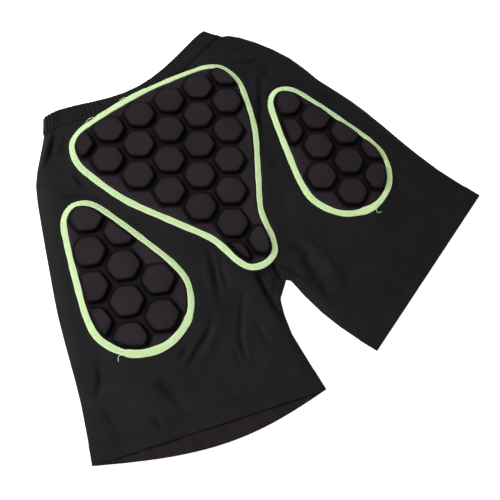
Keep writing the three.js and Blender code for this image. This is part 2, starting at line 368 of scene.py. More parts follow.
class ShortsShell(bpy.types.PropertyGroup):
    cloth: size_property("Cloth", "Thickness of the stretch cloth", 0.7 * MM)
    fold_height: size_property("Fold height", "Height of the folded side edges", 4.4 * MM)
    pad_height: size_property("Height at pads", "Height of the back layer round the pads", 10.6 * MM)
    hem_height: size_property("Height at hems", "Height of the back layer at the leg openings", 5.6 * MM)
    side_roll: size_property("Side roll", "Width over which the cloth rounds down to a side edge", 15 * MM)
    wrinkles: FloatProperty(name="Wrinkles", description="Their strength", default=1.5, min=0, max=2)
    across: count_property("Across", "Faces across half a layer", 118, 20, 200)
    along: count_property("Along", "Faces from hem to waist", 160, 40, 300)


class ShortsWaist(bpy.types.PropertyGroup):
    depth: size_property("Depth", "From the folded edge to the stitching", 22 * MM)
    casing: size_property("Casing", "Thickness of the casing cloth", 0.6 * MM)
    half_height: size_property("Half height", "From the elastic's middle to the casing's middle", 0.95 * MM)
    elastic: size_property("Elastic", "Thickness of the elastic", 0.9 * MM)
    rib_pitch: size_property("Rib pitch", "Between two gathers of the band", 3.9 * MM)
    rib_height: size_property("Rib height", "Rise of a gather of the band", 0.65 * MM)
    pleat_pitch: size_property("Pleat pitch", "Between two pleats below the band", 6.2 * MM)
    pleat_height: size_property("Pleat height", "Rise of a pleat below the band", 1.2 * MM)


class ShortsHem(bpy.types.PropertyGroup):
    depth: size_property("Depth", "From the folded edge to the stitching", 20 * MM)
    cloth: size_property("Cloth", "Thickness of one of its two layers", 0.6 * MM)
    stitch: size_property("Stitch", "Length of one stitch", 1.9 * MM)
    stitch_pitch: size_property("Stitch pitch", "From one stitch to the next", 2.8 * MM)
    row_gap: size_property("Row gap", "Between the two rows of stitches", 3.2 * MM)
    thread: size_property("Thread", "Thickness of the sewing thread", 0.5 * MM)


class ShortsPad(bpy.types.PropertyGroup):
    spacing: size_property("Spacing", "Between points of a pad's surface", 1.1 * MM)
    cover: size_property("Cover", "Thickness of the pad cloth", 0.35 * MM)
    border: size_property("Border", "Flat border between the tape and the cells", 1.6 * MM)
    groove: size_property("Groove", "Half width of a groove's floor", 2.2 * MM)
    slope: size_property("Slope", "Width of a cell's side", 2.4 * MM)
    dome: size_property("Dome", "Rise of a cell's top towards its middle", 0.9 * MM)


class ShortsTape(bpy.types.PropertyGroup):
    width: size_property("Width", "Width of the tape", 6.5 * MM)
    thickness: size_property("Thickness", "Thickness of the tape's cloth", 0.5 * MM)
    crown: size_property("Crown", "Rise of its middle", 0.45 * MM)
    thread: size_property("Thread", "Thickness of the sewing thread", 0.62 * MM)
    pitch: size_property("Pitch", "Length of one zigzag", 3.1 * MM)


class ShortsColours(bpy.types.PropertyGroup):
    shell: colour_property("Shell", "Stretch cloth, outside", (0.0165, 0.0155, 0.0168))
    inner: colour_property("Inside", "Stretch cloth, inside", (0.0208, 0.0158, 0.0198))
    pad: colour_property("Pad", "Cloth over the foam cells", (0.0275, 0.0212, 0.0258))
    tape: colour_property("Tape", "Flatlock tape", (0.66, 0.84, 0.44))
    thread: colour_property("Bright thread", "Thread on the tape", (0.72, 0.90, 0.54))
    dark_thread: colour_property("Dark thread", "Thread of hems and seams", (0.010, 0.0095, 0.011))
    elastic: colour_property("Elastic", "Waist elastic", (0.010, 0.010, 0.011))
    foam: colour_property("Foam", "Foam of the pads", (0.030, 0.030, 0.032))
    lining: colour_property("Lining", "Lining under the pads", (0.020, 0.020, 0.022))
    floor: colour_property("Floor", "Floor", (0.93, 0.93, 0.93))


class ShortsStage(bpy.types.PropertyGroup):
    azimuth: angle_property("Azimuth", "Of the camera, round the shorts", -49.93)
    elevation: angle_property("Elevation", "Of the camera, above the floor", 68.44)
    roll: angle_property("Roll", "Of the camera, about its own line of sight", 14.957)
    distance: size_property("Distance", "From the camera to what it looks at", 658.2 * MM)
    target: FloatVectorProperty(
        name="Target",
        description="What the camera looks at",
        default=(-11.23 * MM, -55.18 * MM, 17 * MM),
        size=3,
    )
    lens: FloatProperty(name="Lens", description="Focal length in mm on a 36 mm sensor", default=43.742)
    key_power: power_property("Key light", "Power of the main light", 23.0)
    overhead_power: power_property("Overhead", "Power of the light above", 2.2)
    sky: FloatProperty(name="Sky", description="Strength of the even light", default=0.15, min=0)


GROUPS = {
    "shorts_shell": ShortsShell,
    "shorts_waist": ShortsWaist,
    "shorts_hem": ShortsHem,
    "shorts_pad": ShortsPad,
    "shorts_tape": ShortsTape,
    "shorts_colours": ShortsColours,
    "shorts_stage": ShortsStage,
}


# ---- Materials ----


class Nodes:
    """A material's nodes, added and linked by short calls."""

    def __init__(self, name, colour, roughness):
        self.material = bpy.data.materials.new(name)
        self.material.use_nodes = True
        self.tree = self.material.node_tree
        self.shader = self.tree.nodes["Principled BSDF"]
        self.shader.inputs["Base Color"].default_value = (*colour, 1)
        self.shader.inputs["Roughness"].default_value = roughness
        self.colour = colour
        self.place = self.add("ShaderNodeTexCoord").outputs["Object"]

    def add(self, kind, **settings):
        node = self.tree.nodes.new(kind)
        for key, value in settings.items():
            setattr(node, key, value)
        return node

    def link(self, source, target):
        self.tree.links.new(source, target)

    def turned(self, angle):
        """Object coordinates turned about the vertical."""
        node = self.add("ShaderNodeMapping")
        node.inputs["Rotation"].default_value = (0, 0, angle)
        self.link(self.place, node.inputs["Vector"])
        return node.outputs["Vector"]

    def noise(self, size, detail=2.0, roughness=0.5):
        """Noise with features of about this size."""
        node = self.add("ShaderNodeTexNoise")
        node.inputs["Scale"].default_value = 1 / size
        node.inputs["Detail"].default_value = detail
        node.inputs["Roughness"].default_value = roughness
        self.link(self.place, node.inputs["Vector"])
        return node.outputs["Fac"]

    def bands(self, pitch, angle, distortion):
        """Fine ribs of this pitch: a wave texture of scale 1 has 20 / (2 pi) ribs in a metre."""
        node = self.add("ShaderNodeTexWave", wave_type="BANDS", bands_direction="X", wave_profile="SIN")
        node.inputs["Scale"].default_value = 2 * math.pi / (20 * pitch)
        node.inputs["Distortion"].default_value = distortion
        node.inputs["Detail"].default_value = 1.0
        self.link(self.turned(angle), node.inputs["Vector"])
        return node.outputs["Fac"]

    def math(self, operation, first, second):
        node = self.add("ShaderNodeMath", operation=operation)
        for socket, value in zip(node.inputs, (first, second)):
            if isinstance(value, (int, float)):
                socket.default_value = value
            else:
                self.link(value, socket)
        return node.outputs["Value"]

    def ramp(self, value, stops):
        node = self.add("ShaderNodeValToRGB")
        elements = node.color_ramp.elements
        while len(elements) < len(stops):
            elements.new(0.5)
        for element, (position, colour) in zip(elements, stops):
            element.position = position
            element.color = (*colour, 1)
        self.link(value, node.inputs["Fac"])
        return node.outputs["Color"]

    def shades(self, value, darker, lighter, painted_shade=1.0):
        """The material's colour, from darker to lighter times itself as the value goes from 0.3 to 0.7,
        darkened by painted shade down to the given gain where the mesh's painted-shade attribute is 1.
        """
        stops = [(at, [c * gain for c in self.colour]) for at, gain in ((0.3, darker), (0.7, lighter))]
        colour = self.ramp(value, stops)
        # Painted shade: the attribute darkens the colour down to this gain, standing in for shade in folds
        # and grooves.
        if painted_shade < 1:
            where = self.add("ShaderNodeAttribute", attribute_name="painted_shade").outputs["Fac"]
            gain = self.ramp(where, [(0, (1, 1, 1)), (1, (painted_shade, painted_shade, painted_shade))])
            scaled = self.add("ShaderNodeVectorMath", operation="MULTIPLY")
            self.link(colour, scaled.inputs[0])
            self.link(gain, scaled.inputs[1])
            colour = scaled.outputs["Vector"]
        self.link(colour, self.shader.inputs["Base Color"])

    def rough(self, value, low, high):
        node = self.add("ShaderNodeMapRange")
        node.inputs["To Min"].default_value = low
        node.inputs["To Max"].default_value = high
        self.link(value, node.inputs["Value"])
        self.link(node.outputs["Result"], self.shader.inputs["Roughness"])

    def bump(self, height, depth, strength):
        node = self.add("ShaderNodeBump")
        node.inputs["Distance"].default_value = depth
        node.inputs["Strength"].default_value = strength
        self.link(height, node.inputs["Height"])
        self.link(node.outputs["Normal"], self.shader.inputs["Normal"])

    def sheen(self, weight, roughness, tint):
        self.shader.inputs["Sheen Weight"].default_value = weight
        self.shader.inputs["Sheen Roughness"].default_value = roughness
        self.shader.inputs["Sheen Tint"].default_value = (*tint, 1)

    def gloss(self, level):
        self.shader.inputs["Specular IOR Level"].default_value = level

    def glow(self, strength, colour=None):
        """Light of its own: painted glow that stands in for the fluorescent yarn's brightness, or a floor lit
        from below.
        """
        self.shader.inputs["Emission Color"].default_value = (*(colour or self.colour), 1)
        self.shader.inputs["Emission Strength"].default_value = strength


def knit(name, colour, wale, roughness, painted_shade=1.0):
    """Fine warp-knitted stretch cloth, its colour darkened by painted shade in deep folds and beside a pad's
    cells, down to the given gain.
    """
    nodes = Nodes(name, colour, roughness)
    wales, courses = nodes.bands(wale, 0.0, 0.6), nodes.bands(0.8 * wale, math.pi / 2, 0.6)
    fuzz = nodes.noise(0.35 * MM, 3.0, 0.7)
    loops = nodes.math("ADD", nodes.math("MULTIPLY", wales, 0.6), nodes.math("MULTIPLY", courses, 0.4))
    drift = nodes.noise(38 * MM, 3.0, 0.6)
    tone = nodes.math("ADD", nodes.math("MULTIPLY", drift, 0.7), nodes.math("MULTIPLY", fuzz, 0.3))
    nodes.shades(tone, 0.82, 1.2, painted_shade)
    nodes.rough(fuzz, roughness - 0.06, roughness + 0.08)
    nodes.bump(nodes.math("ADD", loops, nodes.math("MULTIPLY", fuzz, 0.8)), 0.06 * MM, 0.7)
    nodes.sheen(0.02, 0.45, (0.80, 0.78, 0.84))
    nodes.gloss(0.05)
    return nodes.material


def plain_weave(name, colour, pitch, roughness, depth, glow=0.0):
    """Woven or braided cloth: threads that cross at right angles, with frayed light and shade."""
    nodes = Nodes(name, colour, roughness)
    warp, weft = nodes.bands(pitch, 0.6, 1.2), nodes.bands(pitch, 0.6 + math.pi / 2, 1.2)
    weave = nodes.math("MULTIPLY", warp, weft)
    fray = nodes.noise(0.8 * MM, 3.0, 0.65)
    tone = nodes.math("ADD", nodes.math("MULTIPLY", weave, 0.5), nodes.math("MULTIPLY", fray, 0.6))
    nodes.shades(tone, 0.72, 1.12)
    nodes.rough(fray, roughness - 0.1, roughness + 0.1)
    nodes.bump(nodes.math("ADD", weave, fray), depth, 0.8)
    nodes.sheen(0.15, 0.5, (1, 1, 1))
    nodes.glow(glow)
    return nodes.material


def twisted_thread(name, colour, roughness, sheen=0.0, glow=0.0):
    """Sewing thread, with slow changes of shade along it and fine ones from its twist."""
    nodes = Nodes(name, colour, roughness)
    twist = nodes.noise(0.5 * MM, 2.0, 0.6)
    drift = nodes.noise(7 * MM)
    tone = nodes.math("ADD", nodes.math("MULTIPLY", twist, 0.6), nodes.math("MULTIPLY", drift, 0.4))
    nodes.shades(tone, 0.8, 1.1)
    nodes.rough(twist, roughness - 0.1, roughness + 0.15)
    nodes.bump(twist, 0.12 * MM, 0.6)
    nodes.sheen(sheen, 0.4, (1, 1, 1))
    nodes.gloss(0.15)
    nodes.glow(glow)
    return nodes.material


def cell_foam(name, colour):
    """Closed-cell foam: fine pores over a slightly uneven surface."""
    nodes = Nodes(name, colour, 0.9)
    pores = nodes.noise(0.5 * MM, 4.0, 0.7)
    nodes.shades(pores, 0.7, 1.25)
    nodes.rough(pores, 0.8, 0.98)
    nodes.bump(pores, 0.15 * MM, 0.7)
    return nodes.material


def lit_floor(name, colour, glow):
    """A pale floor that is lit from below, so that hardly a shadow shows on it."""
    nodes = Nodes(name, colour, 0.9)
    nodes.shades(nodes.noise(0.2, 2.0), 0.995, 1.0)
    nodes.gloss(0.0)
    nodes.glow(glow, (1, 1, 1))
    return nodes.material


MATERIALS = {}


def material(kind):
    """A material by its name, made when it is first asked for."""
    colours = bpy.context.scene.shorts_colours
    makers = {
        # The last number for the shell and the pad cloth is the colour's gain under full painted shade.
        "shell": lambda: knit("stretch_cloth", colours.shell, 0.85 * MM, 0.6, 0.15),
        "inner": lambda: knit("stretch_cloth_inside", colours.inner, 1.0 * MM, 0.75),
        "pad": lambda: knit("pad_cloth", colours.pad, 0.95 * MM, 0.7, 0.08),
        # Tape and bright thread: painted glow, standing in for the yarn's fluorescence.
        "tape": lambda: plain_weave("neon_tape", colours.tape, 0.9 * MM, 0.6, 0.25 * MM, glow=0.18),
        "thread": lambda: twisted_thread("neon_thread", colours.thread, 0.5, 0.2, 0.18),
        "dark_thread": lambda: twisted_thread("black_thread", colours.dark_thread, 0.7),
        "elastic": lambda: plain_weave("braided_elastic", colours.elastic, 1.1 * MM, 0.75, 0.2 * MM),
        "foam": lambda: cell_foam("closed_cell_foam", colours.foam),
        "lining": lambda: plain_weave("pad_lining", colours.lining, 0.7 * MM, 0.85, 0.08 * MM),
        "floor": lambda: lit_floor("pale_floor", colours.floor, 0.8),
    }
    if kind not in MATERIALS:
        MATERIALS[kind] = makers[kind]()
    return MATERIALS[kind]


# ---- Making and finishing meshes ----


def new_piece(name, points, faces, *kinds):
    mesh = bpy.data.meshes.new(name)
    mesh.from_pydata(np.asarray(points).tolist(), [], faces if isinstance(faces, list) else faces.tolist())
    for kind in kinds:
        mesh.materials.append(material(kind))
    piece = bpy.data.objects.new(name, mesh)
    bpy.context.scene.collection.objects.link(piece)
    return piece


def select_only(piece):
    bpy.ops.object.select_all(action="DESELECT")
    piece.select_set(True)
    bpy.context.view_layer.objects.active = piece


def apply_modifier(piece, kind, **settings):
    select_only(piece)
    modifier = piece.modifiers.new(kind.title(), kind)
    for key, value in settings.items():
        setattr(modifier, key, value)
    bpy.ops.object.modifier_apply(modifier=modifier.name)


def smooth(piece, angle=None):
    select_only(piece)
    if angle is None:
        bpy.ops.object.shade_smooth()
    else:
        bpy.ops.object.shade_smooth_by_angle(angle=angle)


def thicken(piece, thickness, offset=0.0, inner=False):
    """Gives a sheet its thickness; with inner set, its second side and its rim take the next material."""
    more = {"material_offset": 1} if inner else {}
    apply_modifier(piece, "SOLIDIFY", thickness=thickness, offset=offset, use_rim=True, **more)


def grid_faces(rows, columns, closed=False, flip=False):
    """Quads of a grid of points, numbered row by row; a closed grid's last column meets its first."""
    across = columns if closed else columns - 1
    row, column = np.meshgrid(np.arange(rows - 1), np.arange(across), indexing="ij")
    beside = (column + 1) % columns
    start, after = row * columns, (row + 1) * columns
    corners = [start + column, start + beside, after + beside, after + column]
    quads = np.stack(corners, axis=-1).reshape(-1, 4)
    return quads[:, ::-1] if flip else quads


def threads(name, paths, thickness, kind, closed=False):
    """Sewing thread along each path, as one piece."""
    curve = bpy.data.curves.new(name, "CURVE")
    curve.dimensions = "3D"
    curve.bevel_depth = thickness / 2
    curve.bevel_resolution = 1
    curve.use_fill_caps = not closed
    for path in paths:
        spline = curve.splines.new("POLY")
        spline.points.add(len(path) - 1)
        spline.points.foreach_set("co", np.c_[path, np.ones(len(path))].ravel())
        spline.use_cyclic_u = closed
    piece = bpy.data.objects.new(name, curve)
    bpy.context.scene.collection.objects.link(piece)
    select_only(piece)
    bpy.ops.object.convert(target="MESH")
    piece = bpy.context.view_layer.objects.active
    piece.name = piece.data.name = name
    piece.data.materials.clear()
    piece.data.materials.append(material(kind))
    smooth(piece)
    return piece


def bend_at_fold(piece):
    """Bakes the piece's placement into its mesh; nothing is bent at a leg's fold line."""
    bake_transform(piece)


# ---- Height of the cloth ----

# Wrinkles of the back layer, in millimetres: rise, half width, points along the wrinkle.
WRINKLES = (
    # round the crotch
    (-7.0, 4.0, ((-17, -74), (-19.5, -98), (-21.5, -121), (-24, -137))),
    (-3.4, 2.0, ((-11.5, -78), (-14, -91), (-9, -103))),
    (-4.0, 2.4, ((2, -76), (2, -90), (0.5, -102))),
    (-2.7, 10.0, ((-5, -72), (-8, -92), (-7, -110))),
    (-2.8, 7.0, ((28, -64), (40, -86), (38, -105), (34, -125), (31, -154))),
    (1.4, 6.0, ((44, -72), (56, -98), (54, -128), (50, -150))),
    # from the seat pad's tip down the left thigh
    (-2.1, 3.0, ((-41, -87), (-57, -105), (-74, -127), (-82, -146), (-91, -153))),
    (-1.5, 2.5, ((-84, -130), (-91, -150))),
    (-2.0, 3.2, ((-46, -30), (-52, -46), (-60, -63), (-66, -76))),
    (-1.8, 3.0, ((-38, -36), (-47, -55), (-54, -78))),
    (1.2, 4.5, ((-55, -32), (-66, -58), (-76, -82))),
    (-2.4, 3.0, ((-83, -90), (-98, -103), (-112, -109), (-124, -115), (-140, -121))),
    (1.5, 4.5, ((-90, -106), (-108, -117), (-126, -123))),
    (-1.6, 3.5, ((-122, -104), (-142, -110))),
    (-1.3, 3.5, ((-52, -118), (-52, -150))),
    # lower on the left thigh
    (-2.4, 3.0, ((-206, -66), (-216, -85), (-227, -93))),
    (-1.5, 4.0, ((-226, -108), (-224, -130))),
    (-1.9, 5.0, ((-166, -112), (-163, -131), (-163, -150))),
    (-1.3, 3.0, ((-190, -140), (-188, -158))),
    # between the left hip pad and the waist
    (-3.4, 3.4, ((-107, 190), (-115, 182), (-123, 174), (-131, 165), (-140, 157))),
    (1.6, 4.0, ((-117, 188), (-126, 178), (-136, 167), (-146, 155))),
    (-1.6, 5.0, ((-100, 180), (-108, 168), (-118, 158))),
    (-2.2, 3.5, ((-119, 130), (-118, 112))),
    (-2.6, 2.6, ((-147, 112), (-132, 107), (-120, 99), (-108, 88))),
    (1.6, 5.0, ((-172, 132), (-150, 128), (-128, 121))),
    # between the seat pad and the right hip pad, and up to the waist
    (-3.2, 3.2, ((120, 160), (132, 155), (145, 147.5), (160, 139))),
    (1.6, 3.4, ((128, 168), (140, 159), (158, 147), (175, 134))),
    (-1.6, 4.0, ((112, 190), (132, 180), (150, 168), (168, 152))),
    (-2.0, 5.0, ((158, 130), (146, 126), (136, 120))),
    (1.2, 4.0, ((137, 134), (129, 124), (119, 110), (104, 88))),
    (-2.6, 4.5, ((135, 122), (123, 106), (109, 86), (93, 62), (78, 42))),
    (0.8, 4.0, ((36, -16), (60, 0))),
)
PAD_REACH = 42 * MM  # how far round a pad the cloth is held up
TAPE_CLEAR = 9 * MM  # from a pad's lining to where wrinkles may start
BAND_HEIGHT = 9.35 * MM  # height of the back layer in the waistband, away from the pads
LAYER_CLEAR = 1.1 * MM  # least distance between the middles of the two layers


def wrinkles(points):
    """Rise of the cloth in its wrinkles, which run out at both ends, and the painted shade at the bottom of
    the deepest.
    """
    total, painted_dark = np.zeros(len(points)), np.zeros(len(points))
    for rise, half_width, course in WRINKLES:
        path = smooth_path(np.array(course) * MM, False, 5 * MM)
        away, share = nearest_on(points, path)
        near = (away / (half_width * MM)) ** 2
        taper = np.sin(math.pi * (0.05 + 0.9 * share))
        total += rise * MM * taper * (1 - 0.3 * near) * np.exp(-0.7 * near)
        # Painted shade: deep valleys get a darker colour than their modelled depth alone would give.
        if rise < 0:
            painted_dark = np.maximum(painted_dark, min(1, (rise / 5) ** 2) * taper * np.exp(-1.2 * near))
    return total * (0.9 + 0.3 * ripples(points, 23 * MM, 6)), painted_dark


def paint_fold_shade(piece):
    """Paints shade into the bottom of deep wrinkles on the back of the shell, as an attribute that darkens
    its colour.
    """
    points = np.zeros(3 * len(piece.data.vertices))
    piece.data.vertices.foreach_get("co", points)
    points = points.reshape(-1, 3)
    painted_dark = wrinkles(points[:, :2])[1] * (points[:, 2] > bpy.context.scene.shorts_shell.fold_height)
    mark_painted_shade(piece, painted_dark)


def mark_painted_shade(piece, painted_dark):
    # Painted shade, stored per point: the material darkens its colour where this is 1.
    painted_shade = piece.data.attributes.new("painted_shade", "FLOAT", "POINT")
    painted_shade.data.foreach_set("value", painted_dark)


def gathers(along, pitch):
    """Uneven pleats of about this pitch, between -1 and 1."""
    turns = along / pitch
    phase = 2 * math.pi * turns + 1.5 * np.sin(0.9 * turns + 1) + 0.9 * np.sin(2.1 * turns + 2)
    swell = 0.75 + 0.25 * np.sin(0.53 * turns)
    return swell * (0.8 * np.sin(phase) + 0.2 * np.sin(1.7 * phase))


def edge_roll(points, width):
    """0 on a folded edge, rising round a quarter turn to 1 at this distance inside it."""
    nearest = np.min([distance_to(points, edge) for edge in LAYOUT.folded_edges], axis=0)
    return np.sqrt(1 - (1 - np.clip(nearest / width, 0, 1)) ** 2)


def cloth_height(points, layer):
    """Height of the middle of the shell's back or front layer at each x and y."""
    shell, waist = bpy.context.scene.shorts_shell, bpy.context.scene.shorts_waist
    below = LAYOUT.below_waist(points, layer)
    in_band = 1 - smooth_step((below - waist.depth) / (7 * MM))
    fade = np.exp(-np.clip(below - waist.depth, 0, None) / (13 * MM)) * (1 - in_band)
    pleats = gathers(points[:, 0], waist.pleat_pitch) * waist.pleat_height * fade
    above_hem = LAYOUT.above_hem(points)
    if layer == "front":
        roll = edge_roll(points, 6 * MM)
        lift = 0.9 * MM + 1.0 * MM * in_band + 0.6 * MM * (1 - smooth_step((above_hem - 18 * MM) / (12 * MM)))
        hollows = np.clip(ripples(points, 55 * MM, 5) + 0.3, 0, None) * 1.1 * MM * shell.wrinkles
        hem_waves = np.clip(ripples(points * [1, 0.25], 17 * MM, 8), -0.4, None) + 0.4
        near_hem = 1 - smooth_step(above_hem / (45 * MM))
        waves = 0.9 * MM * hem_waves * near_hem * (1 - in_band)
        height = lift + hollows * (1 - in_band) + 0.35 * pleats + waves
        return shell.fold_height - (shell.fold_height - height) * roll
    away = np.min([-depth_inside(points, LAYOUT.pads[p]) for p in PADS], axis=0)
    held = 1 - smooth_step((away - TAPE_CLEAR) / PAD_REACH)
    slack = smooth_step((away - 0.6 * TAPE_CLEAR) / (6 * MM))
    low = shell.hem_height + 2.2 * MM * smooth_step(above_hem / (70 * MM))
    base = low + (shell.pad_height - low) * held
    base += (BAND_HEIGHT - base) * in_band * (1 - held)
    base -= 0.75 * MM * in_band * held
    uneven = 0.55 * MM * ripples(points, 60 * MM, 3) + 0.22 * MM * ripples(points, 21 * MM, 4)
    folds = (wrinkles(points)[0] + uneven * (1 - in_band)) * shell.wrinkles
    height = base + (folds + pleats) * slack
    height = np.maximum(height, cloth_height(points, "front") + LAYER_CLEAR)
    return shell.fold_height + (height - shell.fold_height) * edge_roll(points, shell.side_roll)


# ---- The shell ----


def column_shares(count):
    """Places across half a layer, closer together near its two ends, from 0 to 1."""
    widest, roll = 229 * MM, 20 * MM
    ends = max(8, count // 9)
    close = roll * (np.arange(ends) / ends) ** 1.7
    middle = np.linspace(roll, widest - roll, count + 1 - 2 * ends)
    return np.concatenate([close, middle, widest - close[::-1]]) / widest


class Half:
    """One half of the garment: a grid of points for each layer, from hem edge to waist edge."""

    def __init__(self, side):
        shell = bpy.context.scene.shorts_shell
        waist, hem = bpy.context.scene.shorts_waist, bpy.context.scene.shorts_hem
        self.side, self.sign = side, SIDES[side]
        self.columns = column_shares(shell.across)
        edge, inseam = LAYOUT.side[side], LAYOUT.inseam[side]
        length = along_path(edge)[-1]
        hem_rows, band_rows = 8, 16
        heights = np.concatenate(
            [
                np.linspace(0, hem.depth, hem_rows, endpoint=False),
                np.linspace(hem.depth, length - waist.depth, shell.along, endpoint=False),
                np.linspace(length - waist.depth, length, band_rows + 1),
            ]
        )
        self.rows = heights / length
        self.hem_rows, self.band_rows = hem_rows, band_rows
        self.outer = resampled(edge, self.rows)
        inseam_length = along_path(inseam)[-1]
        seam_length = LAYOUT.waist["back"][:, 1].mean() - LAYOUT.crotch[1]
        crotch_share = inseam_length / (inseam_length + seam_length)
        self.crotch_row = int(np.abs(self.rows - crotch_share).argmin())
        self.layers = {layer: self.layer(layer, inseam) for layer in ("back", "front")}

    def inner_path(self, layer, inseam):
        """From the inseam's foot to the crotch, then up the centre seam to the waist edge."""
        shares = self.rows / self.rows[self.crotch_row]
        below = resampled(inseam, np.clip(shares[: self.crotch_row + 1], 0, 1))
        edge = LAYOUT.waist[layer]
        top = np.interp(LAYOUT.seam_x, edge[:, 0], edge[:, 1])
        waist = bpy.context.scene.shorts_waist
        rows = self.rows[self.crotch_row + 1 :]
        band = self.rows[-1 - self.band_rows]
        up = (rows - self.rows[self.crotch_row]) / (band - self.rows[self.crotch_row])
        heights = LAYOUT.crotch[1] + np.clip(up, 0, 1) * (top - waist.depth - LAYOUT.crotch[1])
        heights += np.clip((rows - band) / (1 - band), 0, 1) * waist.depth
        return np.concatenate([below, np.stack([np.full(len(rows), LAYOUT.seam_x), heights], axis=-1)])

    def layer(self, layer, inseam):
        u = self.columns[None, :, None]
        v = self.rows[:, None, None]
        inner = self.inner_path(layer, inseam)
        sides = (1 - u) * inner[:, None] + u * self.outer[:, None]
        bulge = LAYOUT.bulge[self.side] if layer == "front" else 0.0
        foot = np.zeros((len(self.columns), 2))
        foot[:, 1] = -bulge * np.sin(math.pi * self.columns)
        straight = (1 - u[0]) * inner[-1] + u[0] * self.outer[-1]
        edge = LAYOUT.waist[layer]
        dip = np.zeros((len(self.columns), 2))
        dip[:, 1] = np.interp(straight[:, 0], edge[:, 0], edge[:, 1]) - straight[:, 1]
        grid = sides + (1 - v) ** 3 * foot[None] + v**2 * dip[None]
        points = grid.reshape(-1, 2)
        heights = cloth_height(points, layer)
        grid = np.concatenate([points, heights[:, None]], axis=1).reshape(*grid.shape[:2], 3)
        grid[:, -1, 2] = bpy.context.scene.shorts_shell.fold_height
        grid[: self.crotch_row + 1, 0, 2] = bpy.context.scene.shorts_shell.fold_height
        return grid


HALVES = {}


def half(side):
    """A half's grids, worked out once and used by every piece of cloth on it."""
    if side not in HALVES:
        HALVES[side] = Half(side)
    return HALVES[side]


def gusset_planes(side):
    """The cuts round one half of the gusset, as points and normals that point out of it."""
    top, foot = LAYOUT.gusset_top, LAYOUT.gusset_foot[side]
    along = foot - top
    out = np.array([-along[1], along[0]])
    out *= np.sign(out[0]) * SIDES[side]
    normal, reach = LAYOUT.fold[side]
    return [(top, out / np.linalg.norm(out)), (normal * reach, -normal)]


def shell_mesh(side, keep_gusset):
    """Both layers of a half from hem stitching to waist stitching, or only the part that is gusset."""
    grids = half(side)
    rows = slice(grids.hem_rows - 1, len(grids.rows) - grids.band_rows + 1)
    points, faces = [], []
    for layer in ("back", "front"):
        grid = grids.layers[layer][rows]
        flip = (layer == "front") == (grids.sign > 0)
        faces.append(grid_faces(*grid.shape[:2], flip=flip) + sum(len(p) for p in points))
        points.append(grid.reshape(-1, 3))
    shape = bmesh.new()
    mesh = bpy.data.meshes.new("half")
    mesh.from_pydata(np.concatenate(points).tolist(), [], np.concatenate(faces).tolist())
    shape.from_mesh(mesh)
    bpy.data.meshes.remove(mesh)
    bmesh.ops.remove_doubles(shape, verts=shape.verts, dist=0.01 * MM)
    planes = gusset_planes(side)
    middle = Vector((*LAYOUT.crotch, 0))
    for place, normal in planes:
        near = [f for f in shape.faces if (f.calc_center_median().xy - middle.xy).length < 55 * MM]
        geometry = {e for f in near for e in (*f.verts, *f.edges)} | set(near)
        bmesh.ops.bisect_plane(
            shape, geom=list(geometry), plane_co=(*place, 0), plane_no=(*normal, 0), dist=0.001 * MM
        )
    drop = []
    for face in shape.faces:
        at = face.calc_center_median().xy
        out = max((at - Vector(place)).dot(Vector(normal)) for place, normal in planes)
        if (out > 0) == keep_gusset:
            drop.append(face)
    bmesh.ops.delete(shape, geom=drop, context="FACES")
    return shape


def cloth_area(shape):
    return sum(face.calc_area() for face in shape.faces)


class SHORTS_OT_shell(bpy.types.Operator):
    """Makes the two halves of the stretch shell and the gusset between the legs"""

    bl_idname = "shorts.shell"
    bl_label = "Shell and gusset"

    def execute(self, context):
        thickness = context.scene.shorts_shell.cloth
        patches = []
        for side in SIDES:
            shape = shell_mesh(side, keep_gusset=False)
            area = cloth_area(shape)
            piece = new_piece(side + "_shell", [], [], "shell", "inner")
            shape.to_mesh(piece.data)
            shape.free()
            thicken(piece, thickness, inner=True)
            smooth(piece)
            paint_fold_shade(piece)
            panels = ("_back_panel", "_front_panel", "_leg_back", "_leg_front")
            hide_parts(*(side + end for end in panels))
            bend_at_fold(piece)
            patches.append(shell_mesh(side, keep_gusset=True))
        self.gusset(patches, thickness)
        return {"FINISHED"}

    def gusset(self, patches, thickness):
        area = sum(cloth_area(p) for p in patches)
        joined = bmesh.new()
        for patch in patches:
            mesh = bpy.data.meshes.new("patch")
            patch.to_mesh(mesh)
            joined.from_mesh(mesh)
            bpy.data.meshes.remove(mesh)
            patch.free()
        bmesh.ops.remove_doubles(joined, verts=joined.verts, dist=0.05 * MM)
        piece = new_piece("gusset", [], [], "shell", "inner")
        joined.to_mesh(piece.data)
        joined.free()
        thicken(piece, thickness, inner=True)
        smooth(piece)
        paint_fold_shade(piece)
        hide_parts("crotch_gusset")
        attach(piece, "torso")


# ---- Waistband and hems ----


def waist_ring():
    """Points round the waist, from its folded edge down: rows x places x 3."""
    left, right = half("left"), half("right")
    back = [left.layers["back"][:, :0:-1], right.layers["back"][:, :]]
    front = [right.layers["front"][:, -2:0:-1], left.layers["front"][:, :-1]]
    ring = np.concatenate([*back, *front], axis=1)
    return ring[::-1][: left.band_rows + 1]


def leg_ring(side):
    """Points round a leg opening, from its folded edge up."""
    grids = half(side)
    back, front = grids.layers["back"], grids.layers["front"]
    ring = np.concatenate([back, front[:, -2:0:-1]], axis=1)
    return (ring if grids.sign > 0 else ring[:, ::-1])[: grids.hem_rows + 1]


def ring_normals(ring):
    """Outward directions of a ring of points."""
    around = np.roll(ring, -1, axis=1) - np.roll(ring, 1, axis=1)
    down = np.gradient(ring, axis=0)
    normals = np.cross(down, around)
    normals /= np.linalg.norm(normals, axis=2)[..., None]
    outward = ring[0] - ring[0].mean(axis=0)
    return normals * np.sign((normals[0] * outward * [0, 0, 1]).sum())


def finer_ring(ring, spacing):
    """The ring with evenly spaced places along it."""
    count = round(row_length(ring[-1]) / spacing)
    shares = np.arange(count) / count
    return np.stack([resampled(np.concatenate([row, row[:1]]), shares) for row in ring])


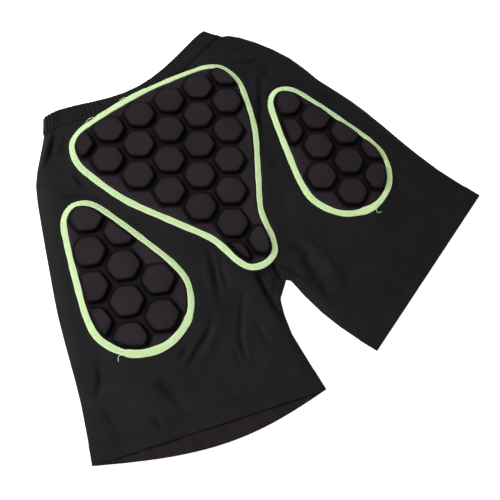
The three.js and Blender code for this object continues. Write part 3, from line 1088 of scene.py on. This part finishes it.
def ribbed(ring, pitch, height, clear):
    """The ring with gathers across it, flat where a pad lies on it and pinched at its stitching."""
    waist = bpy.context.scene.shorts_waist
    count = ring.shape[1]
    along = np.arange(count) * row_length(ring[-1]) / count
    whole = round(along[-1] / pitch)
    ribs = gathers(along * whole * pitch / (along[-1] + along[1]), pitch)
    depth = np.linspace(0, 1, len(ring))[:, None]
    pinch = 1 - 0.25 * np.exp(-(((depth - 0.9) / 0.07) ** 2)) - 0.35 * np.exp(-((depth / 0.05) ** 2))
    flat = ring.reshape(-1, 3)[:, :2]
    away = np.min([-depth_inside(flat, LAYOUT.pads[p]) for p in PADS], axis=0).reshape(ring.shape[:2])
    free = np.where(ring[..., 2] > waist.depth / 4, smooth_step((away - clear) / (5 * MM)), 1)
    return ring + ring_normals(ring) * (ribs[None] * pinch * free * height)[..., None]


def band_offsets(rows, half_height, pinch):
    return half_height * (1 - pinch * smooth_step((np.arange(rows) - rows + 4) / 3))


def folded_band(name, ring, half_height, pinch, wall):
    """A band of cloth folded in two over its first row; its sides come closer by a share at its last rows."""
    normals = ring_normals(ring)
    offset, offsets = half_height, band_offsets(len(ring), half_height, pinch)[1:, None, None]
    back_along = ring[0] - ring[1]
    back_along /= np.linalg.norm(back_along, axis=1)[:, None]
    first = ring[0] - back_along * offset
    turn = np.linspace(0, math.pi, 7)[1:-1]
    over = [first + offset * (math.cos(a) * normals[0] + math.sin(a) * back_along) for a in turn]
    outside = (ring[1:] + offsets * normals[1:])[::-1]
    inside_rows = ring[1:] - offsets * normals[1:]
    outer, inner = first + offset * normals[0], first - offset * normals[0]
    rows = np.concatenate([outside, [outer], over, [inner], inside_rows])
    piece = new_piece(name, rows.reshape(-1, 3), grid_faces(*rows.shape[:2], closed=True), "shell", "inner")
    turned_in = (len(outside) + len(over)) * ring.shape[1]
    for face in piece.data.polygons:
        face.material_index = int(face.index >= turned_in)
    select_only(piece)
    bpy.ops.object.mode_set(mode="EDIT")
    bpy.ops.mesh.select_all(action="SELECT")
    bpy.ops.mesh.normals_make_consistent(inside=False)
    bpy.ops.object.mode_set(mode="OBJECT")
    area = sum(face.area for face in piece.data.polygons)
    thicken(piece, wall)
    smooth(piece)
    return piece, area


def row_length(row):
    return np.linalg.norm(np.roll(row, -1, axis=0) - row, axis=1).sum()


def at_depth(ring, depth):
    """The ring's points and normals at this distance from its first row."""
    normals = ring_normals(ring)
    lengths = np.linalg.norm(np.diff(ring, axis=0), axis=2).cumsum(axis=0).mean(axis=1)
    share = np.interp(depth, np.concatenate([[0], lengths]), np.arange(len(ring)))
    low = min(int(share), len(ring) - 2)
    part = share - low
    return ring[low] * (1 - part) + ring[low + 1] * part, normals[low]


def stitch_paths(line, normals, rise, stitch, pitch):
    """Separate stitches along a closed line, each arched over the cloth."""
    closed = np.concatenate([line + normals * rise, line[:1] + normals[:1] * rise])
    lifted = np.concatenate([normals, normals[:1]])
    lengths = along_path(closed)
    arch = np.array([-0.25, 0.1, 0.2, 0.1, -0.25])[:, None] * MM
    paths = []
    for number in range(int(lengths[-1] / pitch)):
        at = number * pitch + stitch * np.array([0, 0.25, 0.5, 0.75, 1])
        paths.append(interpolated(at, lengths, closed) + interpolated(at, lengths, lifted) * arch)
    return paths


def stitch_rows(name, ring, first_row, rise_at):
    """Two rows of stitches round a band, the first at this distance from the band's fold."""
    hem = bpy.context.scene.shorts_hem
    paths = []
    for depth in (first_row, first_row - hem.row_gap):
        line, normals = at_depth(ring, depth)
        paths += stitch_paths(line, normals, rise_at(depth), hem.stitch, hem.stitch_pitch)
    stitches = threads(name, paths, hem.thread, "dark_thread")
    return stitches


BAND_PINCH = 0.6  # share of the waistband's height lost where it is stitched
HEM_HALF_HEIGHT = 0.36 * MM  # from the middle of a hem to the middle of each of its layers
STITCH_RISE = 0.05 * MM  # of the stitches above the cloth


class SHORTS_OT_waistband(bpy.types.Operator):
    """Makes the gathered waistband, the elastic inside it and its stitching"""

    bl_idname = "shorts.waistband"
    bl_label = "Waistband"

    def execute(self, context):
        waist = context.scene.shorts_waist
        ring = finer_ring(waist_ring(), 0.75 * MM)
        ring = ribbed(ring, waist.rib_pitch, waist.rib_height, TAPE_CLEAR)
        band, area = folded_band("waistband_casing", ring, waist.half_height, BAND_PINCH, waist.casing)
        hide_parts("waistband")
        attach(band, "torso")
        strip = ring[1:-3]
        elastic = new_piece(
            "elastic", strip.reshape(-1, 3), grid_faces(*strip.shape[:2], closed=True), "elastic"
        )
        thicken(elastic, waist.elastic)
        smooth(elastic)
        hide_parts("waist_elastic")
        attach(elastic, "torso")
        offsets = band_offsets(len(ring), waist.half_height, BAND_PINCH)
        shares = np.linspace(0, 1, len(ring))

        def rise_at(depth):
            return np.interp(depth / waist.depth, shares, offsets) + waist.casing / 2 + STITCH_RISE

        stitches = stitch_rows("waist_stitches", ring, waist.depth - 1.6 * MM, rise_at)
        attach(stitches, "torso")
        return {"FINISHED"}


class SHORTS_OT_hems(bpy.types.Operator):
    """Makes the turned-back hem of each leg and its two rows of stitches"""

    bl_idname = "shorts.hems"
    bl_label = "Leg hems"

    def execute(self, context):
        hem = context.scene.shorts_hem
        rise = HEM_HALF_HEIGHT + hem.cloth / 2 + STITCH_RISE
        for side in SIDES:
            ring = leg_ring(side)
            piece, area = folded_band(side + "_hem", ring, HEM_HALF_HEIGHT, 0.0, hem.cloth)
            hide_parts(side + "_leg_hem")
            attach(piece, side + "_leg")
            stitches = stitch_rows(side + "_hem_stitches", ring, hem.depth - 1.4 * MM, lambda depth: rise)
            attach(stitches, side + "_leg")
        return {"FINISHED"}


# ---- Pads ----

FOAM_BASE = 2.2 * MM  # thickness of the foam sheet that carries the cells


class PadShape:
    """Heights of one pad: a flat border, grooves and the rounded hexagonal cells between them."""

    def __init__(self, name):
        self.name = name
        self.settings = bpy.context.scene.shorts_pad
        self.edge = LAYOUT.pads[name]
        foam_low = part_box(name + "_pad_foam")[0]
        cover_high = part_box(name + "_pad_cover")[1]
        self.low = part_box(name + "_pad_lining")[0].z
        self.floor = foam_low.z + FOAM_BASE
        self.top = cover_high.z
        tops = cell_tops(name + "_pad_foam")
        full = max(area for area, _ in tops)
        self.tops = np.array([middle for _, middle in tops])
        whole = np.array([middle for area, middle in tops if area > 0.97 * full])
        self.origin = whole[np.linalg.norm(whole - whole.mean(axis=0), axis=1).argmin()]
        others = whole - self.origin
        lengths = np.linalg.norm(others, axis=1)
        beside = others[np.where(lengths > 1 * MM, lengths, np.inf).argmin()]
        self.pitch = np.linalg.norm(beside)
        turn = math.atan2(beside[1], beside[0])
        self.turn = (turn + math.pi / 6) % (math.pi / 3) - math.pi / 6

    def directions(self):
        angles = self.turn + np.arange(3) * math.pi / 3
        return np.stack([np.cos(angles), np.sin(angles)], axis=-1)

    def middles(self):
        """Middles of the pattern's cells round the pad, and which of them hold a cell."""
        along, across = self.directions()[0], self.directions()[1]
        steps = np.arange(-9, 10)
        grid = np.array([i * along + j * across for i in steps for j in steps]) * self.pitch + self.origin
        near = grid[depth_inside(grid, self.edge) > -1.2 * self.pitch]
        to_top = np.linalg.norm(near[:, None] - self.tops, axis=2).min(axis=1)
        return near, to_top < self.pitch / 2

    def heights(self, points):
        """Height at each x and y, and the painted shade of the grooves: 1 on a cell's side, 0 on its top."""
        s = self.settings
        depth = depth_inside(points, self.edge)
        middles, filled = self.middles()
        nearest = np.full(len(points), np.inf)
        offset = np.zeros_like(points)
        present = np.zeros(len(points), bool)
        for middle, full in zip(middles, filled):
            away = points - middle
            far = (away**2).sum(axis=1)
            closer = far < nearest
            nearest[closer], offset[closer], present[closer] = far[closer], away[closer], full
        across = np.abs(offset @ self.directions().T)
        reach = (across**9).sum(axis=1) ** (1 / 9)
        from_groove = np.where(present, self.pitch / 2 - reach, -10 * MM)
        from_border = depth - s.border
        blunt = 2.5 * MM
        near = np.minimum(from_groove, from_border + s.groove)
        near -= 0.6 * MM * np.exp(-np.abs(from_groove - from_border - s.groove) / blunt)
        climb = (near - s.groove) / s.slope
        rise = smooth_step(climb) ** 0.85
        # Painted shade: darkest on a cell's side, less on the groove floor and at the top's edge.
        side = smooth_step((climb + 0.5) / 0.5) * (1 - smooth_step((climb - 0.5) / 0.7))
        floor = 0.72 * smooth_step((climb + 2) / 1.1) * (1 - smooth_step(climb / 0.5))
        rim = 0.3 * smooth_step(climb / 0.5) * (1 - smooth_step((climb - 0.8) / 1.6))
        painted_dark = np.maximum.reduce([side, floor, rim])
        crown = s.dome * (1 - nearest / (0.4 * self.pitch) ** 2)
        shoulder = np.sqrt(1 - (1 - np.clip(depth / (3.2 * MM), 0, 1)) ** 2)
        edge = self.low + 0.5 * MM
        base = edge + (self.floor - edge) * shoulder
        return base + rise * (self.top - s.dome - self.floor + np.clip(crown, -0.6 * MM, s.dome)), painted_dark


def filled_loop(loop, spacing):
    """Points and triangles all over a loop's inside."""
    low, high = loop.min(axis=0), loop.max(axis=0)
    row_step = spacing * math.sqrt(3) / 2
    xs, ys = np.arange(low[0], high[0], spacing), np.arange(low[1], high[1], row_step)
    grid = np.array([(x + (i % 2) * spacing / 2, y) for i, y in enumerate(ys) for x in xs])
    clear = distance_to(grid, loop, closed=True)
    grid = grid[inside(grid, loop) & (clear > 0.55 * spacing)]
    points = np.concatenate([loop, grid])
    made = delaunay_2d_cdt([Vector(p) for p in points], [], [list(range(len(loop)))], 1, 1e-7)
    return np.array([tuple(p) for p in made[0]]), np.array(made[2])


def grown(loop, amount):
    return loop + amount * sideways(loop, True)


class SHORTS_OT_pads(bpy.types.Operator):
    """Makes the three pads: lining, foam with its cells, and the cloth over them"""

    bl_idname = "shorts.pads"
    bl_label = "Pads"

    def execute(self, context):
        for name in PADS:
            shape = PadShape(name)
            self.cover(shape)
            self.foam(shape)
            self.lining(shape)
        return {"FINISHED"}

    def cover(self, shape):
        s = shape.settings
        loop = smooth_path(grown(shape.edge, 3.2 * MM), True, 1.6 * s.spacing)
        points, faces = filled_loop(loop, s.spacing)
        heights, painted_dark = shape.heights(points)
        piece = new_piece(shape.name + "_cover", np.c_[points, heights], faces, "pad")
        mark_painted_shade(piece, painted_dark)
        thicken(piece, s.cover, offset=-1.0)
        smooth(piece)
        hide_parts(shape.name + "_pad_cover")
        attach(piece, "torso")

    def foam(self, shape):
        s = shape.settings
        loop = smooth_path(grown(shape.edge, -1.5 * MM), True, 2 * s.spacing)
        points, faces = filled_loop(loop, 1.35 * s.spacing)
        count = len(points)
        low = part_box(shape.name + "_pad_foam")[0].z
        upper = np.c_[points, np.maximum(shape.heights(points)[0] - 1.25 * MM, low + 0.3 * MM)]
        lower = np.c_[points, np.full(count, low)]
        walls = [(b, a, a + count, b + count) for a, b in boundary_of(faces)]
        everything = [*faces.tolist(), *(faces[:, ::-1] + count).tolist(), *walls]
        piece = new_piece(shape.name + "_foam", np.concatenate([upper, lower]), everything, "foam")
        smooth(piece)
        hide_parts(shape.name + "_pad_foam")
        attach(piece, "torso")

    def lining(self, shape):
        loop = smooth_path(grown(shape.edge, 3.0 * MM), True, 6 * MM)
        points, faces = filled_loop(loop, 6 * MM)
        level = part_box(shape.name + "_pad_lining")[0].z + 0.15 * MM
        piece = new_piece(shape.name + "_lining", np.c_[points, np.full(len(points), level)], faces, "lining")
        thicken(piece, 0.25 * MM)
        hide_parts(shape.name + "_pad_lining")
        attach(piece, "torso")


def boundary_of(faces):
    """Directed edges that only one triangle has."""
    edges = {(a, b) for f in faces.tolist() for a, b in zip(f, f[1:] + f[:1])}
    return [(a, b) for a, b in edges if (b, a) not in edges]


# ---- Tape ----

# Stretches where the tape laps over its own start, as two places near the tape, in millimetres.
LAPS = {
    "seat": ((9.5, 190), (-64.5, 186)),
    "left_hip": ((-178.5, -71), (-100.5, -81)),
    "right_hip": ((120, -92), (146, -95)),
}
# Loose ends of thread: where each leaves the tape and where it lies, in millimetres.
TAILS = {
    "seat": (((-20, 191), (-23, 194), (-28, 194)), ((-64, 184), (-71, 187), (-78, 184))),
    "left_hip": (((-178, -72), (-184, -70), (-187, -74)), ((-102, -80), (-99, -75), (-94, -74))),
    "right_hip": (((140, -93), (139, -99), (144, -101)),),
}


def tape_line(name):
    """The middle of a pad's tape."""
    width = bpy.context.scene.shorts_tape.width
    return smooth_path(grown(LAYOUT.pads[name], width / 2 + 0.3 * MM), True, 1.0 * MM)


def lap_share(line, ends):
    """1 along the stretch between two places, 0 elsewhere, with short ramps."""
    start, end = (np.linalg.norm(line - np.array(e) * MM, axis=1).argmin() for e in ends)
    count = len(line)
    span = (end - start) % count
    ahead = (np.arange(count) - start) % count
    ramp = 4
    return np.where(ahead <= span, np.clip(np.minimum(ahead, span - ahead) / ramp, 0, 1), 0)


class TapeSurface:
    """Where the tape's top lies: a share across it, from -1 inside to 1 outside, and a rise above it."""

    def __init__(self, name):
        self.settings = bpy.context.scene.shorts_tape
        self.line = tape_line(name)
        self.out = sideways(self.line, True)
        self.lap = lap_share(self.line, LAPS[name])
        lengths = np.arange(len(self.line))
        wobble = 0.05 * np.sin(lengths / 9.0) + 0.04 * np.sin(lengths / 3.7 + 1)
        self.half_width = self.settings.width / 2 * (1 + wobble + 0.22 * self.lap)
        self.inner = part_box(name + "_pad_lining")[0].z + 1.55 * MM
        self.outer = bpy.context.scene.shorts_shell.pad_height + 0.85 * MM
        self.lift = 0.55 * MM * self.lap

    def at(self, numbers, across, rise):
        """Points at these places along the tape, which may fall between two of its own."""
        count = len(self.line)
        whole = np.floor(numbers).astype(int)
        part = numbers - whole
        low, high = whole % count, (whole + 1) % count

        def between(values):
            share = part[:, None] if values.ndim > 1 else part
            return values[low] * (1 - share) + values[high] * share

        place = between(self.line) + (between(self.half_width) * across)[:, None] * between(self.out)
        tilt = (self.inner + self.outer) / 2 + (self.outer - self.inner) / 2 * across
        crown = self.settings.crown * (1 - across**2)
        return np.c_[place, tilt + crown + between(self.lift) + rise]


class SHORTS_OT_tapes(bpy.types.Operator):
    """Makes the bright flatlock tape round each pad and the zigzag thread that sews it down"""

    bl_idname = "shorts.tapes"
    bl_label = "Tape and thread"

    def execute(self, context):
        for name in PADS:
            surface = TapeSurface(name)
            self.tape(name, surface)
            self.thread(name, surface)
        return {"FINISHED"}

    def tape(self, name, surface):
        s = surface.settings
        numbers = np.arange(len(surface.line)).astype(float)
        shares = np.linspace(-1, 1, 9)
        rows = np.stack([surface.at(numbers, np.full(len(numbers), a), -s.thickness / 2) for a in shares])
        faces = grid_faces(*rows.shape[:2], closed=True, flip=True)
        piece = new_piece(name + "_tape", rows.reshape(-1, 3), faces, "tape")
        thicken(piece, s.thickness)
        smooth(piece, math.radians(50))
        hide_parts(name + "_pad_tape")
        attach(piece, "torso")

    def thread(self, name, surface):
        s = surface.settings
        count = len(surface.line)
        length = row_length(surface.line)
        cycles = round(length / s.pitch)
        steps = 8
        numbers = np.arange(cycles * steps) * count / (cycles * steps)
        turn = 2 * math.pi * np.arange(cycles * steps) / steps
        swing = 0.80 * np.clip(1.25 * np.sin(turn), -1, 1)
        rise = s.thread * 0.35
        zigzag = surface.at(numbers, swing, rise)
        crossing = surface.at(numbers, -swing, rise + 0.5 * s.thread * np.cos(turn) ** 2)
        sway, bob = 0.05 * np.sin(turn), 0.12 * MM * np.cos(turn)
        edges = [surface.at(numbers, at + sway, rise + bob) for at in (-0.90, 0.90)]
        piece = threads(name + "_tape_thread", [zigzag, crossing, *edges], s.thread, "thread", closed=True)
        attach(piece, "torso")
        tails = [self.tail(course, surface) for course in TAILS[name]]
        piece = threads(name + "_thread_ends", tails, s.thread, "thread")
        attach(piece, "torso")

    def tail(self, course, surface):
        """A loose end that starts on the tape and comes down on the cloth beside it."""
        path = smooth_path(np.array(course) * MM, False, 0.8 * MM)
        edge = surface.line + 0.5 * surface.half_width[:, None] * surface.out
        path += edge[np.linalg.norm(edge - path[0], axis=1).argmin()] - path[0]
        share = np.linspace(0, 1, len(path))
        top, ground = surface.inner + 1.0 * MM, surface.outer - 0.1 * MM
        arch = 0.9 * MM * np.sin(math.pi * share)
        return np.c_[path, top + (ground - top) * smooth_step(1.6 * share) + arch]


# ---- Seams ----


class SHORTS_OT_seams(bpy.types.Operator):
    """Makes the flatlock seams: centre back, centre front and round the gusset"""

    bl_idname = "shorts.seams"
    bl_label = "Seams"

    def execute(self, context):
        top = LAYOUT.gusset_top
        waist = context.scene.shorts_waist
        for layer in ("back", "front"):
            edge = LAYOUT.waist[layer]
            high = np.interp(LAYOUT.seam_x, edge[:, 0], edge[:, 1]) - waist.depth
            centre = np.array([[LAYOUT.seam_x, high], top])
            if layer == "back":
                pad_foot = LAYOUT.pads["seat"][:, 1].min()
                centre[0, 1] = pad_foot - 8 * MM
            self.seam("centre_" + layer + "_seam", centre, layer)
            for side in SIDES:
                foot = LAYOUT.gusset_foot[side]
                self.seam(f"{side}_gusset_{layer}_seam", np.array([top, foot]), layer)
        return {"FINISHED"}

    def seam(self, name, course, layer):
        """A flat ridge of three threads along a line on one layer."""
        hem = bpy.context.scene.shorts_hem
        up = 1 if layer == "back" else -1
        line = smooth_path(course, False, 1.2 * MM)
        out = sideways(line, False)
        paths = []
        for at in (-1.6, 1.6):
            place = line + at * MM * out
            paths.append(np.c_[place, cloth_height(place, layer) + up * 0.42 * MM])
        turn, places = np.arange(len(line) * 3) / 3, np.arange(len(line))
        middle, across = interpolated(turn, places, line), interpolated(turn, places, out)
        middle = middle + 1.5 * MM * np.sin(turn * 2.6)[:, None] * across
        paths.append(np.c_[middle, cloth_height(middle, layer) + up * 0.5 * MM])
        piece = threads(name, paths, hem.thread, "dark_thread")
        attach(piece, "torso")


# ---- Stage ----


class SHORTS_OT_stage(bpy.types.Operator):
    """Makes the floor, the lights and the camera"""

    bl_idname = "shorts.stage"
    bl_label = "Stage"

    def execute(self, context):
        stage = context.scene.shorts_stage
        bpy.ops.object.select_all(action="DESELECT")
        bpy.ops.mesh.primitive_plane_add(size=12, location=(0, 0, -0.1 * MM))
        floor = context.active_object
        floor.name = "floor"
        floor.data.materials.append(material("floor"))
        self.light("key", (-1.0, 0.85, 1.25), 0.6, stage.key_power)
        self.light("overhead", (-0.3, -0.25, 0.8), 0.5, stage.overhead_power)
        world = bpy.data.worlds.new("studio")
        world.use_nodes = True
        world.node_tree.nodes["Background"].inputs["Color"].default_value = (1, 1, 1, 1)
        world.node_tree.nodes["Background"].inputs["Strength"].default_value = stage.sky
        context.scene.world = world
        context.scene.view_settings.view_transform = "Standard"
        self.camera(context, stage)
        return {"FINISHED"}

    def light(self, name, place, size, power):
        bpy.ops.object.light_add(type="AREA", location=place)
        light = bpy.context.active_object
        light.name = name
        light.data.energy = power
        light.data.size = size
        light.rotation_mode = "QUATERNION"
        light.rotation_quaternion = (-Vector(place)).to_track_quat("-Z", "Y")

    def camera(self, context, stage):
        turn, lift = stage.azimuth, stage.elevation
        back = Vector((math.sin(turn) * math.cos(lift), -math.cos(turn) * math.cos(lift), math.sin(lift)))
        bpy.ops.object.camera_add(location=Vector(stage.target) + back * stage.distance)
        camera = context.active_object
        camera.name = "camera"
        camera.rotation_mode = "QUATERNION"
        level = back.to_track_quat("Z", "Y")
        camera.rotation_quaternion = Matrix.Rotation(stage.roll, 3, back).to_quaternion() @ level
        camera.data.sensor_width = 36
        camera.data.lens = stage.lens
        camera.data.clip_start = 0.02
        camera.data.clip_end = 50
        context.scene.camera = camera


OPERATORS = (
    SHORTS_OT_stage,
    SHORTS_OT_shell,
    SHORTS_OT_waistband,
    SHORTS_OT_hems,
    SHORTS_OT_pads,
    SHORTS_OT_tapes,
    SHORTS_OT_seams,
)


class SHORTS_PT_panel(bpy.types.Panel):
    """Sizes, colours and the steps that build the shorts"""

    bl_idname = "SHORTS_PT_panel"
    bl_label = "Padded impact shorts"
    bl_space_type = "VIEW_3D"
    bl_region_type = "UI"
    bl_category = "Shorts"

    def draw(self, context):
        for operator in OPERATORS:
            self.layout.operator(operator.bl_idname)
        for name, group in GROUPS.items():
            box = self.layout.box()
            for key in group.__annotations__:
                box.prop(getattr(context.scene, name), key)


CLASSES = (*GROUPS.values(), *OPERATORS, SHORTS_PT_panel)


def register():
    for each in CLASSES:
        bpy.utils.register_class(each)
    for name, group in GROUPS.items():
        setattr(bpy.types.Scene, name, PointerProperty(type=group))


def unregister():
    for name in GROUPS:
        delattr(bpy.types.Scene, name)
    for each in reversed(CLASSES):
        bpy.utils.unregister_class(each)


def main():
    register()
    bpy.ops.shorts.stage()
    bpy.ops.shorts.shell()
    bpy.ops.shorts.waistband()
    bpy.ops.shorts.hems()
    bpy.ops.shorts.pads()
    bpy.ops.shorts.tapes()
    bpy.ops.shorts.seams()


if __name__ == "__main__":
    main()
